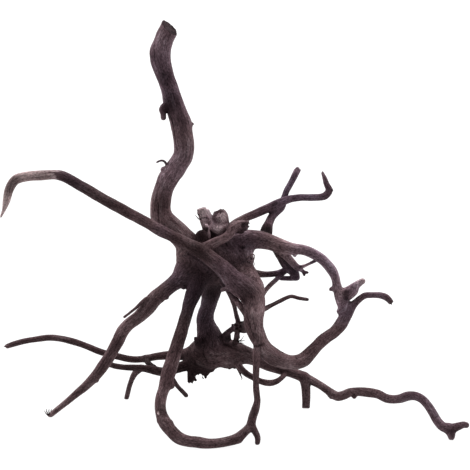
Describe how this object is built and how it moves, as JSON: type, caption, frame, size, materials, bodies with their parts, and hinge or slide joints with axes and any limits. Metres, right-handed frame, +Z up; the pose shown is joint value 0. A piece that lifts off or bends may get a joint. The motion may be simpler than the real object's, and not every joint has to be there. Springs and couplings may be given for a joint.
{
  "type": "spiderwood root",
  "caption": "Weathered spiderwood root: a sawn, crooked trunk on a crown that spreads into crossing and looping roots, which it stands on. Decorative wood for an aquarium or terrarium.",
  "frame": {"origin": "on the surface it stands on, under the middle of its box", "axes": "+Z up, +X to the right and along its longest extent, +Y to the back, with the front arm and the loop at -Y"},
  "size_m": [0.4725, 0.2108, 0.398],
  "materials": {
    "wood": "bare, weathered, matt, dark purplish brown with paler worn ends"
  },
  "bodies": {
    "root": {"spiderwood_root": "wood"}
  },
  "joints": []
}
